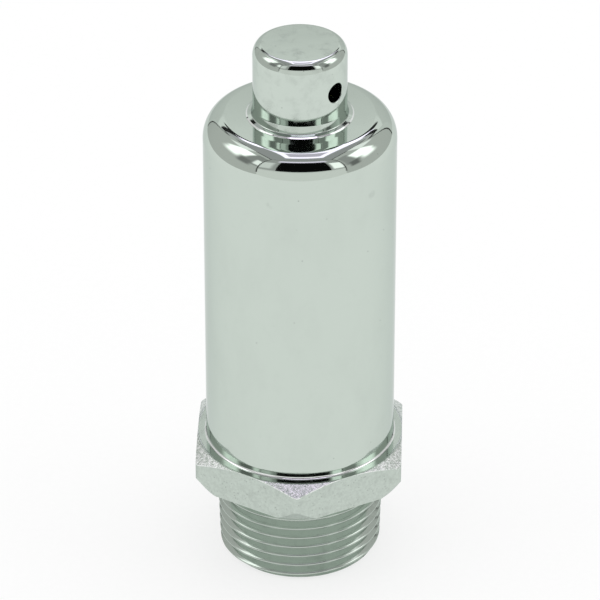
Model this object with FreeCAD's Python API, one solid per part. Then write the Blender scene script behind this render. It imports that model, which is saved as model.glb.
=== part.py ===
# Automatic air vent: float and diaphragm operated, chromed body, tapered pipe thread.
#
# The vent stands upright on its thread end.  Origin: centre of the thread's end face,
# +Z up along the axis.  One corner of the hexagon points nearly along -Y.  Millimetres.
#
# From the bottom up: a hexagon base with a tapered male nipple; a drawn shell soldered on
# its spigot; a support with a splash baffle inside the base; a sealed float that stands on
# a button under its flexible diaphragm; a needle on top of the float; a seat screwed into
# the neck of the turned cap, whose side hole lets the air out.

import FreeCAD, Part
import math
import os

V = FreeCAD.Vector
os.makedirs("parts", exist_ok=True)

# ---------------------------------------------------------------- driving dimensions
# base and its tapered pipe thread (3/4 inch, 14 threads per inch)
NIPPLE_LENGTH = 15.3          # thread end to underside of the hexagon
THREAD_PITCH = 25.4 / 14
THREAD_END_R = 13.15          # crest radius at the thread's end
THREAD_HALF_TAPER = 1 / 32    # radius gained per millimetre of height
THREAD_DEPTH = 1.2
THREAD_CREST = 0.25           # flat width of the crest
THREAD_ROOT = 0.15            # flat width of the root
THREAD_LEAD_IN = 1.1          # chamfer at the thread's end
THREAD_RELIEF = 1.3           # height of the plain neck under the hexagon
RELIEF_STEP = 0.3             # slope from the thread's root down to the neck
INLET_R = 9.0
INLET_CHAMFER = 0.6
HEX_ACROSS_FLATS = 33.3
HEX_HEIGHT = 6.2
HEX_TURN = -1.8               # front corner from -Y, degrees
HEX_TOP_LAND = 1.5            # flat ring on the hexagon, outside the shell
HEX_TOP_ANGLE = 30.0          # chamfer of the top corners, degrees
HEX_UNDER_CUT = 2.3           # height of the chamfer of the lower corners
HEX_UNDER_ANGLE = 56.0

# drawn shell
SHELL_R = 15.3
SHELL_WALL = 0.9
SHELL_HEIGHT = 58.6           # hexagon to the flat of the shoulder
SHOULDER_RUN = 3.5            # roll-over, across
SHOULDER_DROP = 4.3           # roll-over, down

# spigot inside the shell and the joint ring round it
SPIGOT_HEIGHT = 4.6
SPIGOT_GAP = 0.05
JOINT_RING_RISE = 2.3
JOINT_RING_HEIGHT = 1.2
JOINT_RING_DEPTH = 0.8

# float support, its snap ring and the splash baffle
SUPPORT_SEAT_R = 12.0
SUPPORT_SEAT_DEPTH = 1.0      # below the hexagon's top
SUPPORT_THICK = 1.2
SUPPORT_GAP = 0.05
SUPPORT_HOLE_R = 2.6
SUPPORT_HOLE_RING = 7.4
SUPPORT_HOLES = 6
POST_R = 2.2
POST_HEIGHT = 4.6
SNAP_RING_HEIGHT = 1.0
SNAP_RING_GROOVE = 0.6
SNAP_RING_WIDTH = 1.5
SNAP_RING_GAP_ANGLE = 40.0
BAFFLE_R = 9.6
BAFFLE_THICK = 0.6
BAFFLE_DISH = 1.1

# cap, its gasket and lock nut
CAP_R = 7.43
CAP_HEIGHT = 12.4
CAP_EDGE_RUN = 1.4            # rounded top edge, across
CAP_EDGE_DROP = 2.1           # rounded top edge, down
CAP_FOOT_R = 8.5
CAP_FOOT_LIP = 0.14           # thickness of the foot's edge
CAP_FOOT_SLOPE = 16.0         # of the foot's upper side
CAP_FLARE_R = 9.9             # concave flare from the cap's side down to the foot
CAP_FLARE_ANGLE = 13.0        # slope of the flare at its lower end
CAP_FLARE_FILLET = 0.2        # between the flare and the foot
CAP_NECK_R = 5.5
CAP_NECK_LENGTH = 6.0
CAP_BORE_R = 4.0
CAP_TOP_THICK = 3.0
OUTLET_R = 1.6
OUTLET_RISE = 6.2             # above the shoulder
OUTLET_AZIMUTH = -41.0        # degrees from +X
OUTLET_EDGE = 0.18            # broken edge of the hole
GASKET_INNER_R = 5.8
GASKET_OUTER_R = 7.4
GASKET_THICK = 0.8
NUT_ACROSS_FLATS = 14.5
NUT_HEIGHT = 2.8
THREAD_GAP = 0.05             # radial gap where plain cylinders stand for small threads

# valve seat and its gasket
SEAT_FLANGE_R = 5.3
SEAT_FLANGE_THICK = 1.0
SEAT_GASKET_THICK = 0.3
SEAT_SHANK_LENGTH = 4.4
ORIFICE_R = 0.8
ORIFICE_MOUTH_R = 1.9

# pin guide under the seat
GUIDE_PLATE_THICK = 0.8
GUIDE_DROP = 5.4              # plate's underside to the bush's underside
GUIDE_BUSH_R = 3.0
GUIDE_BUSH_HEIGHT = 1.4
GUIDE_LEG_WIDTH = 1.6
GUIDE_LEG_THICK = 0.9
GUIDE_LEGS = 3
GUIDE_PIN_GAP = 0.08
GUIDE_HOLE_R = 2.4

# needle and what holds it on the float
LIFT = 2.5                    # travel of the float from open to shut
SHUT_GAP = 0.05
PIN_R = 1.2
PIN_TIP_R = 0.15
PIN_CONE_ANGLE = 30.0
PIN_IN_BOSS = 2.4
BOSS_R = 2.9
BOSS_HEIGHT = 3.0
LOCK_NUT_ACROSS_FLATS = 5.0
LOCK_NUT_HEIGHT = 1.4
GUIDE_TO_NUT = 0.3            # gap left above the lock nut when shut

# float
FLOAT_R = 12.4
FLOAT_WALL = 0.4
FLOAT_TOP_EDGE = 3.0
FLOAT_BOTTOM_LIP = 1.0        # inward lip that the diaphragm is clamped to
SEAM_BAND_HEIGHT = 3.0
SEAM_BAND_THICK = 0.3
FILL_PLUG_R = 0.9
FILL_PLUG_HEIGHT = 1.1
FILL_PLUG_OFFSET = 6.6
GUIDE_RING_HEIGHT = 1.4
GUIDE_RING_THICK = 0.4
GUIDE_FINGERS = 3
GUIDE_FINGER_WIDTH = 2.4
GUIDE_FINGER_GAP = 0.3        # to the shell

# diaphragm, its clamp ring and the button that stands on the support
DIAPHRAGM_THICK = 0.25
DIAPHRAGM_WAVES = 3
DIAPHRAGM_WAVE_HEIGHT = 0.45
CLAMP_RING_THICK = 0.6
CLAMP_RING_WIDTH = 1.6
BUTTON_R = 2.8
BUTTON_HEIGHT = 2.2
RIVET_R = 0.8
RIVET_GAP = 0.05              # to the diaphragm's hole
RIVET_DEPTH = 1.6             # into the button
RIVET_HEAD_R = 1.6
RIVET_HEAD_THICK = 0.5
REST_GAP = 0.02               # button to post

# ---------------------------------------------------------------- levels and radii
HEX_TOP_Z = NIPPLE_LENGTH + HEX_HEIGHT
SHOULDER_Z = HEX_TOP_Z + SHELL_HEIGHT
CAP_TOP_Z = SHOULDER_Z + CAP_HEIGHT
SHELL_INNER_R = SHELL_R - SHELL_WALL
SPIGOT_R = SHELL_INNER_R - SPIGOT_GAP
SPIGOT_TOP_Z = HEX_TOP_Z + SPIGOT_HEIGHT
SUPPORT_Z = HEX_TOP_Z - SUPPORT_SEAT_DEPTH
SUPPORT_TOP_Z = SUPPORT_Z + SUPPORT_THICK
POST_TOP_Z = SUPPORT_TOP_Z + POST_HEIGHT
BUTTON_Z = POST_TOP_Z + REST_GAP
CLAMP_Z = BUTTON_Z + BUTTON_HEIGHT - CLAMP_RING_THICK
DIAPHRAGM_Z = BUTTON_Z + BUTTON_HEIGHT
FLOAT_Z = DIAPHRAGM_Z + DIAPHRAGM_THICK

NECK_Z = SHOULDER_Z - CAP_NECK_LENGTH
SEAT_GASKET_Z = NECK_Z - SEAT_GASKET_THICK
SEAT_Z = SEAT_GASKET_Z - SEAT_FLANGE_THICK
ORIFICE_EDGE_Z = SEAT_Z + SEAT_FLANGE_THICK * 0.9
GUIDE_PLATE_Z = SEAT_Z - GUIDE_PLATE_THICK
GUIDE_BUSH_Z = GUIDE_PLATE_Z - GUIDE_DROP

LOCK_NUT_TOP_Z = GUIDE_BUSH_Z - LIFT - GUIDE_TO_NUT
BOSS_TOP_Z = LOCK_NUT_TOP_Z - LOCK_NUT_HEIGHT
FLOAT_TOP_Z = BOSS_TOP_Z - BOSS_HEIGHT
SEAM_Z = (FLOAT_Z + FLOAT_TOP_Z) / 2
GUIDE_RING_Z = (SEAM_Z + SEAM_BAND_HEIGHT / 2 + FLOAT_TOP_Z - FLOAT_TOP_EDGE - GUIDE_RING_HEIGHT) / 2

PIN_CONE_SLOPE = math.tan(math.radians(PIN_CONE_ANGLE))
PIN_PAST_EDGE = (ORIFICE_R - PIN_TIP_R) / PIN_CONE_SLOPE
PIN_TOP_Z = ORIFICE_EDGE_Z + PIN_PAST_EDGE - LIFT - SHUT_GAP
PIN_CONE_Z = PIN_TOP_Z - (PIN_R - PIN_TIP_R) / PIN_CONE_SLOPE


# ---------------------------------------------------------------- helpers
def save(node, shape):
    shape.exportStep("parts/%s.step" % node)


def outline(points):
    """Closed wire from (radius, z) points; a point (radius, z, radius, z) is an arc's
    middle and end."""
    edges = []
    here = V(points[0][0], 0, points[0][1])
    for point in list(points[1:]) + [points[0]]:
        there = V(point[-2], 0, point[-1])
        if len(point) == 4:
            edges.append(Part.Arc(here, V(point[0], 0, point[1]), there).toShape())
        elif (there - here).Length > 1e-6:
            edges.append(Part.LineSegment(here, there).toShape())
        here = there
    return Part.Wire(edges)


def turned(points):
    """Solid of revolution about Z."""
    return Part.Face(outline(points)).revolve(V(), V(0, 0, 1), 360)


def disc(radius, z, height):
    return Part.makeCylinder(radius, height, V(0, 0, z))


def ring(inner, outer, z, height):
    return disc(outer, z, height).cut(disc(inner, z, height))


def quarter(radius, z, centre_radius, centre_z, end_radius, end_z):
    """Arc point of outline(): middle of the quarter round from (radius, z) to the end."""
    away = V(radius - centre_radius, 0, z - centre_z) + V(end_radius - centre_radius, 0, end_z - centre_z)
    size = math.hypot(radius - centre_radius, z - centre_z)
    away.normalize()
    return (centre_radius + away.x * size, centre_z + away.z * size, end_radius, end_z)


def hexagon(across_flats, z, height, turn=0.0):
    """Hexagonal bar with a corner along -Y, turned by some degrees."""
    corner = across_flats / math.sqrt(3)
    angles = [math.radians(60 * i - 90 + turn) for i in range(7)]
    wire = Part.makePolygon([V(corner * math.cos(a), corner * math.sin(a), z) for a in angles])
    return Part.Face(wire).extrude(V(0, 0, height))


def around(shape, count, first=0.0):
    """Copies of a shape, evenly spaced about Z, as one fused shape."""
    copies = []
    for i in range(count):
        copy = shape.copy()
        copy.rotate(V(), V(0, 0, 1), first + 360.0 * i / count)
        copies.append(copy)
    return copies[0].multiFuse(copies[1:]) if count > 1 else copies[0]


# ---------------------------------------------------------------- base
def thread_ridge():
    """Helical ridge of the tapered thread, trimmed by the thread's outer envelope."""
    end_root = THREAD_END_R - THREAD_DEPTH
    below = THREAD_PITCH
    top = NIPPLE_LENGTH - THREAD_RELIEF
    start_r = end_root - below * THREAD_HALF_TAPER
    sunk = 0.1
    flank = (THREAD_PITCH - THREAD_CREST - THREAD_ROOT) / 2
    foot = THREAD_CREST / 2 + flank
    foot_sunk = foot + sunk * flank / THREAD_DEPTH
    turns = math.ceil((top + below) / THREAD_PITCH + 0.5)
    helix = Part.makeHelix(THREAD_PITCH, turns * THREAD_PITCH, start_r,
                           math.degrees(math.atan(THREAD_HALF_TAPER)))
    corners = [(start_r - sunk, -foot_sunk), (start_r + THREAD_DEPTH, -THREAD_CREST / 2),
               (start_r + THREAD_DEPTH, THREAD_CREST / 2), (start_r - sunk, foot_sunk)]
    profile = Part.makePolygon([V(r, 0, z) for r, z in corners + corners[:1]])
    ridge = Part.Wire(helix.Edges).makePipeShell([profile], True, True)
    ridge.translate(V(0, 0, -below))
    top_r = THREAD_END_R + top * THREAD_HALF_TAPER
    envelope = turned([(end_root - 1, 0), (THREAD_END_R - THREAD_LEAD_IN, 0),
                       (THREAD_END_R + THREAD_LEAD_IN * THREAD_HALF_TAPER, THREAD_LEAD_IN),
                       (top_r, top - THREAD_DEPTH * 0.6), (end_root - 0.2, top + 0.4),
                       (end_root - 1, top + 0.4)])
    return ridge.common(envelope)


def base_nipple():
    """Hexagon, nipple with its tapered thread, spigot and the through bore."""
    end_root = THREAD_END_R - THREAD_DEPTH
    relief_z = NIPPLE_LENGTH - THREAD_RELIEF
    core = turned([(0, 0), (end_root, 0),
                   (end_root + relief_z * THREAD_HALF_TAPER, relief_z),
                   (end_root, relief_z + RELIEF_STEP), (end_root, HEX_TOP_Z), (0, HEX_TOP_Z)])
    corner = HEX_ACROSS_FLATS / math.sqrt(3)
    land = SHELL_R + HEX_TOP_LAND
    drop = (corner + 1 - land) * math.tan(math.radians(HEX_TOP_ANGLE))
    under = corner - HEX_UNDER_CUT / math.tan(math.radians(HEX_UNDER_ANGLE))
    rise = (corner + 1 - under) * math.tan(math.radians(HEX_UNDER_ANGLE))
    limits = turned([(0, NIPPLE_LENGTH), (under, NIPPLE_LENGTH), (corner + 1, NIPPLE_LENGTH + rise),
                     (corner + 1, HEX_TOP_Z - drop), (land, HEX_TOP_Z), (0, HEX_TOP_Z)])
    body = hexagon(HEX_ACROSS_FLATS, NIPPLE_LENGTH, HEX_HEIGHT, HEX_TURN).common(limits)
    body = body.fuse(core).fuse(disc(SPIGOT_R, HEX_TOP_Z - 0.1, SPIGOT_HEIGHT + 0.1))
    body = body.cut(ring(SPIGOT_R - JOINT_RING_DEPTH, SPIGOT_R + 0.1, HEX_TOP_Z + JOINT_RING_RISE,
                         JOINT_RING_HEIGHT))
    body = body.cut(turned([(0, -1), (INLET_R + INLET_CHAMFER + 1, -1), (INLET_R, INLET_CHAMFER),
                            (INLET_R, SPIGOT_TOP_Z + 1), (0, SPIGOT_TOP_Z + 1)]))
    body = body.cut(disc(SUPPORT_SEAT_R, SUPPORT_Z, SPIGOT_TOP_Z))
    body = body.cut(disc(SUPPORT_SEAT_R + SNAP_RING_GROOVE, SUPPORT_TOP_Z, SNAP_RING_HEIGHT))
    return body.fuse(thread_ridge()).removeSplitter()


def shell_joint_ring():
    return ring(SPIGOT_R - JOINT_RING_DEPTH, SHELL_INNER_R, HEX_TOP_Z + JOINT_RING_RISE,
                JOINT_RING_HEIGHT)


# ---------------------------------------------------------------- drawn shell
def elliptic_edge(run, drop, outer_r, top_z):
    """Quarter ellipse from the flat at outer_r - run down to the side at top_z - drop."""
    centre = V(outer_r - run, 0, top_z - drop)
    across, up = centre + V(run, 0, 0), centre + V(0, 0, drop)
    curve = Part.Ellipse(across, up, centre) if run >= drop else Part.Ellipse(up, across, centre)
    ends = sorted((curve.parameter(across), curve.parameter(up)))
    if ends[1] - ends[0] > math.pi:
        ends = [ends[1], ends[0] + 2 * math.pi]
    return curve.toShape(*ends)


def domed_block(outer_r, bottom_z, top_z, run, drop):
    """Cylinder whose top edge is the roll-over."""
    side = V(outer_r, 0, top_z - drop)
    flat = V(outer_r - run, 0, top_z)
    edges = [Part.LineSegment(V(0, 0, bottom_z), V(outer_r, 0, bottom_z)).toShape(),
             Part.LineSegment(V(outer_r, 0, bottom_z), side).toShape(),
             elliptic_edge(run, drop, outer_r, top_z),
             Part.LineSegment(flat, V(0, 0, top_z)).toShape(),
             Part.LineSegment(V(0, 0, top_z), V(0, 0, bottom_z)).toShape()]
    wire = Part.Wire(Part.__sortEdges__(edges))
    return Part.Face(wire).revolve(V(), V(0, 0, 1), 360)


def body_shell():
    outer = domed_block(SHELL_R, HEX_TOP_Z, SHOULDER_Z, SHOULDER_RUN, SHOULDER_DROP)
    inner = domed_block(SHELL_INNER_R, HEX_TOP_Z - 1, SHOULDER_Z - SHELL_WALL,
                        SHOULDER_RUN - SHELL_WALL, SHOULDER_DROP - SHELL_WALL)
    return outer.cut(inner).cut(disc(CAP_NECK_R + THREAD_GAP, SHOULDER_Z - 5, 10))


# ---------------------------------------------------------------- support and baffle
def float_support():
    plate = disc(SUPPORT_SEAT_R - SUPPORT_GAP, SUPPORT_Z, SUPPORT_THICK)
    holes = around(Part.makeCylinder(SUPPORT_HOLE_R, SUPPORT_THICK, V(SUPPORT_HOLE_RING, 0, SUPPORT_Z)),
                   SUPPORT_HOLES)
    post = disc(POST_R, SUPPORT_TOP_Z, POST_HEIGHT)
    return plate.cut(holes).fuse(post).removeSplitter()


def support_snap_ring():
    outer = SUPPORT_SEAT_R + SNAP_RING_GROOVE
    whole = ring(outer - SNAP_RING_WIDTH, outer, SUPPORT_TOP_Z, SNAP_RING_HEIGHT)
    wedge = Part.makeCylinder(outer + 1, SNAP_RING_HEIGHT, V(0, 0, SUPPORT_TOP_Z), V(0, 0, 1),
                              SNAP_RING_GAP_ANGLE)
    return whole.cut(wedge)


def splash_baffle():
    """Dished disc pressed on the support's post."""
    hub_z = SUPPORT_TOP_Z + POST_HEIGHT * 0.55
    t = BAFFLE_THICK
    return turned([(POST_R, hub_z), (POST_R + 1.2, hub_z), (BAFFLE_R, hub_z - BAFFLE_DISH),
                   (BAFFLE_R, hub_z - BAFFLE_DISH + t), (POST_R + 1.2, hub_z + t), (POST_R, hub_z + t)])


# ---------------------------------------------------------------- cap, gasket and nut
def outlet_cutter():
    """Side hole with its edge broken, from the cap's bore outwards."""
    angle = math.radians(OUTLET_AZIMUTH)
    away = V(math.cos(angle), math.sin(angle), 0)
    centre = V(0, 0, SHOULDER_Z + OUTLET_RISE)
    hole = Part.makeCylinder(OUTLET_R, CAP_R + 2, centre, away)
    broken = Part.makeCone(OUTLET_R, OUTLET_R + 2, 2, centre + away * (CAP_R - OUTLET_EDGE), away)
    return hole.fuse(broken)


def hollow(radius, centre, slope):
    """Point of a concave arc where its surface leans back by a slope in degrees."""
    slope = math.radians(slope)
    return centre[0] - radius * math.cos(slope), centre[1] - radius * math.sin(slope)


def cap_foot():
    """Flare, fillet and sloping foot at the lower end of the cap."""
    top_slope = 90 - CAP_FOOT_SLOPE
    flare = (CAP_R + CAP_FLARE_R, 0)
    flare_end = hollow(CAP_FLARE_R, flare, CAP_FLARE_ANGLE)
    fillet = hollow(-CAP_FLARE_FILLET, flare_end, CAP_FLARE_ANGLE)
    foot_start = hollow(CAP_FLARE_FILLET, fillet, top_slope)
    fall = (CAP_FOOT_R - foot_start[0]) * math.tan(math.radians(CAP_FOOT_SLOPE))
    rise = SHOULDER_Z + CAP_FOOT_LIP + fall - foot_start[1]
    fillet_middle = hollow(CAP_FLARE_FILLET, fillet, (CAP_FLARE_ANGLE + top_slope) / 2)
    flare_middle = hollow(CAP_FLARE_R, flare, CAP_FLARE_ANGLE / 2)
    return turned([
        (0, SHOULDER_Z), (CAP_FOOT_R, SHOULDER_Z), (CAP_FOOT_R, SHOULDER_Z + CAP_FOOT_LIP),
        (foot_start[0], foot_start[1] + rise),
        (fillet_middle[0], fillet_middle[1] + rise, flare_end[0], flare_end[1] + rise),
        (flare_middle[0], flare_middle[1] + rise, CAP_R, rise), (0, rise)])


def vent_cap():
    foot = cap_foot()
    top = domed_block(CAP_R, SHOULDER_Z, CAP_TOP_Z, CAP_EDGE_RUN, CAP_EDGE_DROP)
    body = disc(CAP_NECK_R, NECK_Z, CAP_NECK_LENGTH + 1).fuse(top).fuse(foot)
    body = body.cut(disc(CAP_BORE_R, NECK_Z, CAP_TOP_Z - CAP_TOP_THICK - NECK_Z))
    body = body.cut(ring(GASKET_INNER_R, GASKET_OUTER_R, SHOULDER_Z, GASKET_THICK))
    return body.cut(outlet_cutter()).removeSplitter()


def cap_gasket():
    return ring(GASKET_INNER_R, GASKET_OUTER_R, SHOULDER_Z, GASKET_THICK)


def cap_lock_nut():
    top = SHOULDER_Z - SHELL_WALL
    body = hexagon(NUT_ACROSS_FLATS, top - NUT_HEIGHT, NUT_HEIGHT)
    return body.cut(disc(CAP_NECK_R + THREAD_GAP, top - NUT_HEIGHT, NUT_HEIGHT))


# ---------------------------------------------------------------- seat and guide
def valve_seat():
    shank = CAP_BORE_R - THREAD_GAP
    top = SEAT_Z + SEAT_FLANGE_THICK + SEAT_SHANK_LENGTH
    return turned([(ORIFICE_MOUTH_R, SEAT_Z), (SEAT_FLANGE_R, SEAT_Z),
                   (SEAT_FLANGE_R, SEAT_GASKET_Z), (shank, SEAT_GASKET_Z), (shank, top),
                   (ORIFICE_R, top), (ORIFICE_R, ORIFICE_EDGE_Z)])


def seat_gasket():
    return ring(CAP_BORE_R, SEAT_FLANGE_R, SEAT_GASKET_Z, SEAT_GASKET_THICK)


def pin_guide():
    """Plate under the seat, three legs and the bush that keeps the needle central."""
    plate = ring(GUIDE_HOLE_R, SEAT_FLANGE_R, GUIDE_PLATE_Z, GUIDE_PLATE_THICK)
    bush = ring(PIN_R + GUIDE_PIN_GAP, GUIDE_BUSH_R, GUIDE_BUSH_Z, GUIDE_BUSH_HEIGHT)
    foot = Part.makeBox(SEAT_FLANGE_R - GUIDE_BUSH_R - 0.1, GUIDE_LEG_WIDTH, GUIDE_BUSH_HEIGHT,
                        V(GUIDE_BUSH_R - 0.4, -GUIDE_LEG_WIDTH / 2, GUIDE_BUSH_Z))
    leg = Part.makeBox(GUIDE_LEG_THICK, GUIDE_LEG_WIDTH, GUIDE_DROP + 0.1,
                       V(SEAT_FLANGE_R - GUIDE_LEG_THICK - 0.5, -GUIDE_LEG_WIDTH / 2, GUIDE_BUSH_Z))
    legs = around(foot.fuse(leg), GUIDE_LEGS, 30)
    return plate.fuse(legs).fuse(bush).removeSplitter()


# ---------------------------------------------------------------- needle
def valve_pin():
    return turned([(0, BOSS_TOP_Z - PIN_IN_BOSS), (PIN_R, BOSS_TOP_Z - PIN_IN_BOSS),
                   (PIN_R, PIN_CONE_Z), (PIN_TIP_R, PIN_TOP_Z), (0, PIN_TOP_Z)])


def pin_boss():
    body = disc(BOSS_R, FLOAT_TOP_Z, BOSS_HEIGHT)
    return body.cut(disc(PIN_R, BOSS_TOP_Z - PIN_IN_BOSS, PIN_IN_BOSS))


def pin_lock_nut():
    body = hexagon(LOCK_NUT_ACROSS_FLATS, BOSS_TOP_Z, LOCK_NUT_HEIGHT)
    return body.cut(disc(PIN_R, BOSS_TOP_Z, LOCK_NUT_HEIGHT))


# ---------------------------------------------------------------- float
def float_upper_shell():
    inner = FLOAT_R - FLOAT_WALL
    edge = FLOAT_TOP_EDGE
    under = FLOAT_TOP_Z - FLOAT_WALL
    return turned([
        (inner, SEAM_Z), (FLOAT_R, SEAM_Z), (FLOAT_R, FLOAT_TOP_Z - edge),
        quarter(FLOAT_R, FLOAT_TOP_Z - edge, FLOAT_R - edge, FLOAT_TOP_Z - edge, FLOAT_R - edge, FLOAT_TOP_Z),
        (0, FLOAT_TOP_Z), (0, under), (FLOAT_R - edge, under),
        quarter(FLOAT_R - edge, under, FLOAT_R - edge, FLOAT_TOP_Z - edge, inner, FLOAT_TOP_Z - edge)])


def float_lower_shell():
    inner = FLOAT_R - FLOAT_WALL
    lip = inner - FLOAT_BOTTOM_LIP
    return turned([(lip, FLOAT_Z), (FLOAT_R, FLOAT_Z), (FLOAT_R, SEAM_Z), (inner, SEAM_Z),
                   (inner, FLOAT_Z + FLOAT_WALL), (lip, FLOAT_Z + FLOAT_WALL)])


def float_seam_band():
    return ring(FLOAT_R, FLOAT_R + SEAM_BAND_THICK, SEAM_Z - SEAM_BAND_HEIGHT / 2, SEAM_BAND_HEIGHT)


def float_guide_ring():
    """Band round the float with fingers that keep it central in the shell."""
    z = GUIDE_RING_Z
    outer = FLOAT_R + GUIDE_RING_THICK
    reach = SHELL_INNER_R - GUIDE_FINGER_GAP
    finger = Part.makeBox(reach, GUIDE_FINGER_WIDTH, GUIDE_RING_HEIGHT,
                          V(0, -GUIDE_FINGER_WIDTH / 2, z))
    fingers = around(finger, GUIDE_FINGERS, 90).common(disc(reach, z, GUIDE_RING_HEIGHT))
    return disc(outer, z, GUIDE_RING_HEIGHT).fuse(fingers).cut(
        disc(FLOAT_R, z, GUIDE_RING_HEIGHT)).removeSplitter()


def fill_plug():
    return Part.makeCone(FILL_PLUG_R, FILL_PLUG_R * 0.6, FILL_PLUG_HEIGHT,
                         V(FILL_PLUG_OFFSET, 0, FLOAT_TOP_Z))


# ---------------------------------------------------------------- diaphragm and button
def diaphragm_disc():
    """Thin corrugated disc that closes the float's bottom."""
    z, t = DIAPHRAGM_Z, DIAPHRAGM_THICK
    start = RIVET_HEAD_R + 0.6
    clamp_inner = FLOAT_R - CLAMP_RING_WIDTH
    pitch = (clamp_inner - 0.6 - start) / DIAPHRAGM_WAVES
    hole = RIVET_R + RIVET_GAP
    lower = [(hole, z), (start, z)]
    upper = [(start, z + t), (hole, z + t)]
    for i in range(DIAPHRAGM_WAVES):
        left = start + i * pitch
        crest = z + DIAPHRAGM_WAVE_HEIGHT
        lower.append((left + pitch / 2, crest, left + pitch, z))
        upper.insert(0, (left + pitch / 2, crest + t, left, z + t))
    end = start + DIAPHRAGM_WAVES * pitch
    return turned(lower + [(FLOAT_R, z), (FLOAT_R, z + t), (end, z + t)]
                  + upper[:DIAPHRAGM_WAVES] + [upper[-1]])


def diaphragm_clamp_ring():
    return ring(FLOAT_R - CLAMP_RING_WIDTH, FLOAT_R, CLAMP_Z, CLAMP_RING_THICK)


def diaphragm_button():
    body = disc(BUTTON_R, BUTTON_Z, BUTTON_HEIGHT)
    return body.cut(disc(RIVET_R, DIAPHRAGM_Z - RIVET_DEPTH, RIVET_DEPTH))


def button_rivet():
    """Rivet through the diaphragm into the button."""
    shank = disc(RIVET_R, DIAPHRAGM_Z - RIVET_DEPTH, RIVET_DEPTH + DIAPHRAGM_THICK)
    head = disc(RIVET_HEAD_R, DIAPHRAGM_Z + DIAPHRAGM_THICK, RIVET_HEAD_THICK)
    return shank.fuse(head).removeSplitter()


# ---------------------------------------------------------------- write every node
NODES = [base_nipple, body_shell, shell_joint_ring, float_support, support_snap_ring,
         splash_baffle, vent_cap, cap_gasket, cap_lock_nut, valve_seat, seat_gasket,
         pin_guide, valve_pin, pin_boss, pin_lock_nut, float_upper_shell, float_lower_shell,
         float_seam_band, float_guide_ring, fill_plug, diaphragm_disc, diaphragm_clamp_ring,
         diaphragm_button, button_rivet]

for make in NODES:
    shape = make()
    print("%-22s solids %d  volume %9.2f  valid %s" % (
        make.__name__, len(shape.Solids), shape.Volume, shape.isValid()))
    save(make.__name__, shape)
print("height", CAP_TOP_Z, "float", FLOAT_Z, FLOAT_TOP_Z, "pin tip", PIN_TOP_Z)
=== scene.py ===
"""Automatic air vent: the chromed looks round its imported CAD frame.

The chromed outer pieces are modelled anew as exact surfaces, and the inner pieces keep their
CAD meshes and get their finishes.  Lengths are in metres, +Z is up and the vent's axis is Z.
"""

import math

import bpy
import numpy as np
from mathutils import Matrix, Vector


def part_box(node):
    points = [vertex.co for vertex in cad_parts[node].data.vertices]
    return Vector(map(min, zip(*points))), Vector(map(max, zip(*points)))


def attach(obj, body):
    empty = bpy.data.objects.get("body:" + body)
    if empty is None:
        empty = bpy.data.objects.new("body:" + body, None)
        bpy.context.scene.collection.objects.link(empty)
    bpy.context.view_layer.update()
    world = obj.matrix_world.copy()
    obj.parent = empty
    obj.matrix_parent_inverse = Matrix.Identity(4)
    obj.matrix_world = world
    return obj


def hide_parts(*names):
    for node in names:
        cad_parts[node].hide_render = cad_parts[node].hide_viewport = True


bl_info = {
    "name": "Automatic air vent",
    "version": (1, 0, 0),
    "blender": (4, 5, 0),
    "location": "View3D > Sidebar > Air Vent",
    "description": "Chromed shell, cap and threaded base of an automatic air vent, with its stage",
    "category": "Add Mesh",
}

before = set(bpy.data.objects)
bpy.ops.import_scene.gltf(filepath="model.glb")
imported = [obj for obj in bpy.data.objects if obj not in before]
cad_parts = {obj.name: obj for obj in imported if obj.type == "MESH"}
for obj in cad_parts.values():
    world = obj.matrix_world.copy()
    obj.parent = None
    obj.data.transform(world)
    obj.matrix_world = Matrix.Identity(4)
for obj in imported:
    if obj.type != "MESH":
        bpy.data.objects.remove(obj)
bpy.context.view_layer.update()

MM = 0.001
BODY = "vent_body"
SHELL_LOW, SHELL_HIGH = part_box("body_shell")
CAP_LOW, CAP_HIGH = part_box("vent_cap")
BASE_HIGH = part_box("base_nipple")[1]
SUPPORT_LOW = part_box("float_support")[0]
SNAP_LOW, SNAP_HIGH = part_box("support_snap_ring")
RING_LOW, RING_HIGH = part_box("shell_joint_ring")
GASKET_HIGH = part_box("cap_gasket")[1]
GASKET_WIDTH = 1.6 * MM
THREAD_SAMPLES = 22           # rows of the thread's surface in one pitch
THREAD_ROUNDING = 0.10        # of the ridge's corners, as a share of its height
ROUND_STEPS = 288             # columns round the vent
WELD = 1e-7                   # points nearer than this are one vertex
# Colour of painted highlights: the cap's foot edge, and the base's edge glints, chamfer sparkles and
# bead.
PAINTED_HIGHLIGHT = (0.93, 0.95, 0.94, 1.0)
GRAZING_TINT = (0.74, 0.77, 0.76, 1.0)    # of a metal seen at a flat angle
WHITE = (1.0, 1.0, 1.0, 1.0)


# ---------------------------------------------------------------- sizes that a user may change
def length(title, text, millimetres):
    return bpy.props.FloatProperty(name=title, description=text, default=millimetres * MM,
                                   unit="LENGTH", precision=5)


def turn(title, text, degrees):
    return bpy.props.FloatProperty(name=title, description=text, default=math.radians(degrees),
                                   subtype="ANGLE")


def share(title, text, value):
    return bpy.props.FloatProperty(name=title, description=text, default=value, min=0.0, max=1.0,
                                   precision=4)


def colour(title, text, value):
    return bpy.props.FloatVectorProperty(name=title, description=text, default=value, size=3,
                                         subtype="COLOR", min=0.0, max=1.0)


class VentShellSettings(bpy.types.PropertyGroup):
    wall: length("Wall", "Thickness of the drawn shell", 0.9)
    roll_run: length("Roll-over run", "Width of the rounded shoulder", 3.5)
    roll_drop: length("Roll-over drop", "Height of the rounded shoulder", 4.3)
    neck_hole: length("Neck hole", "Radius of the hole for the cap's neck", 5.55)


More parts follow.
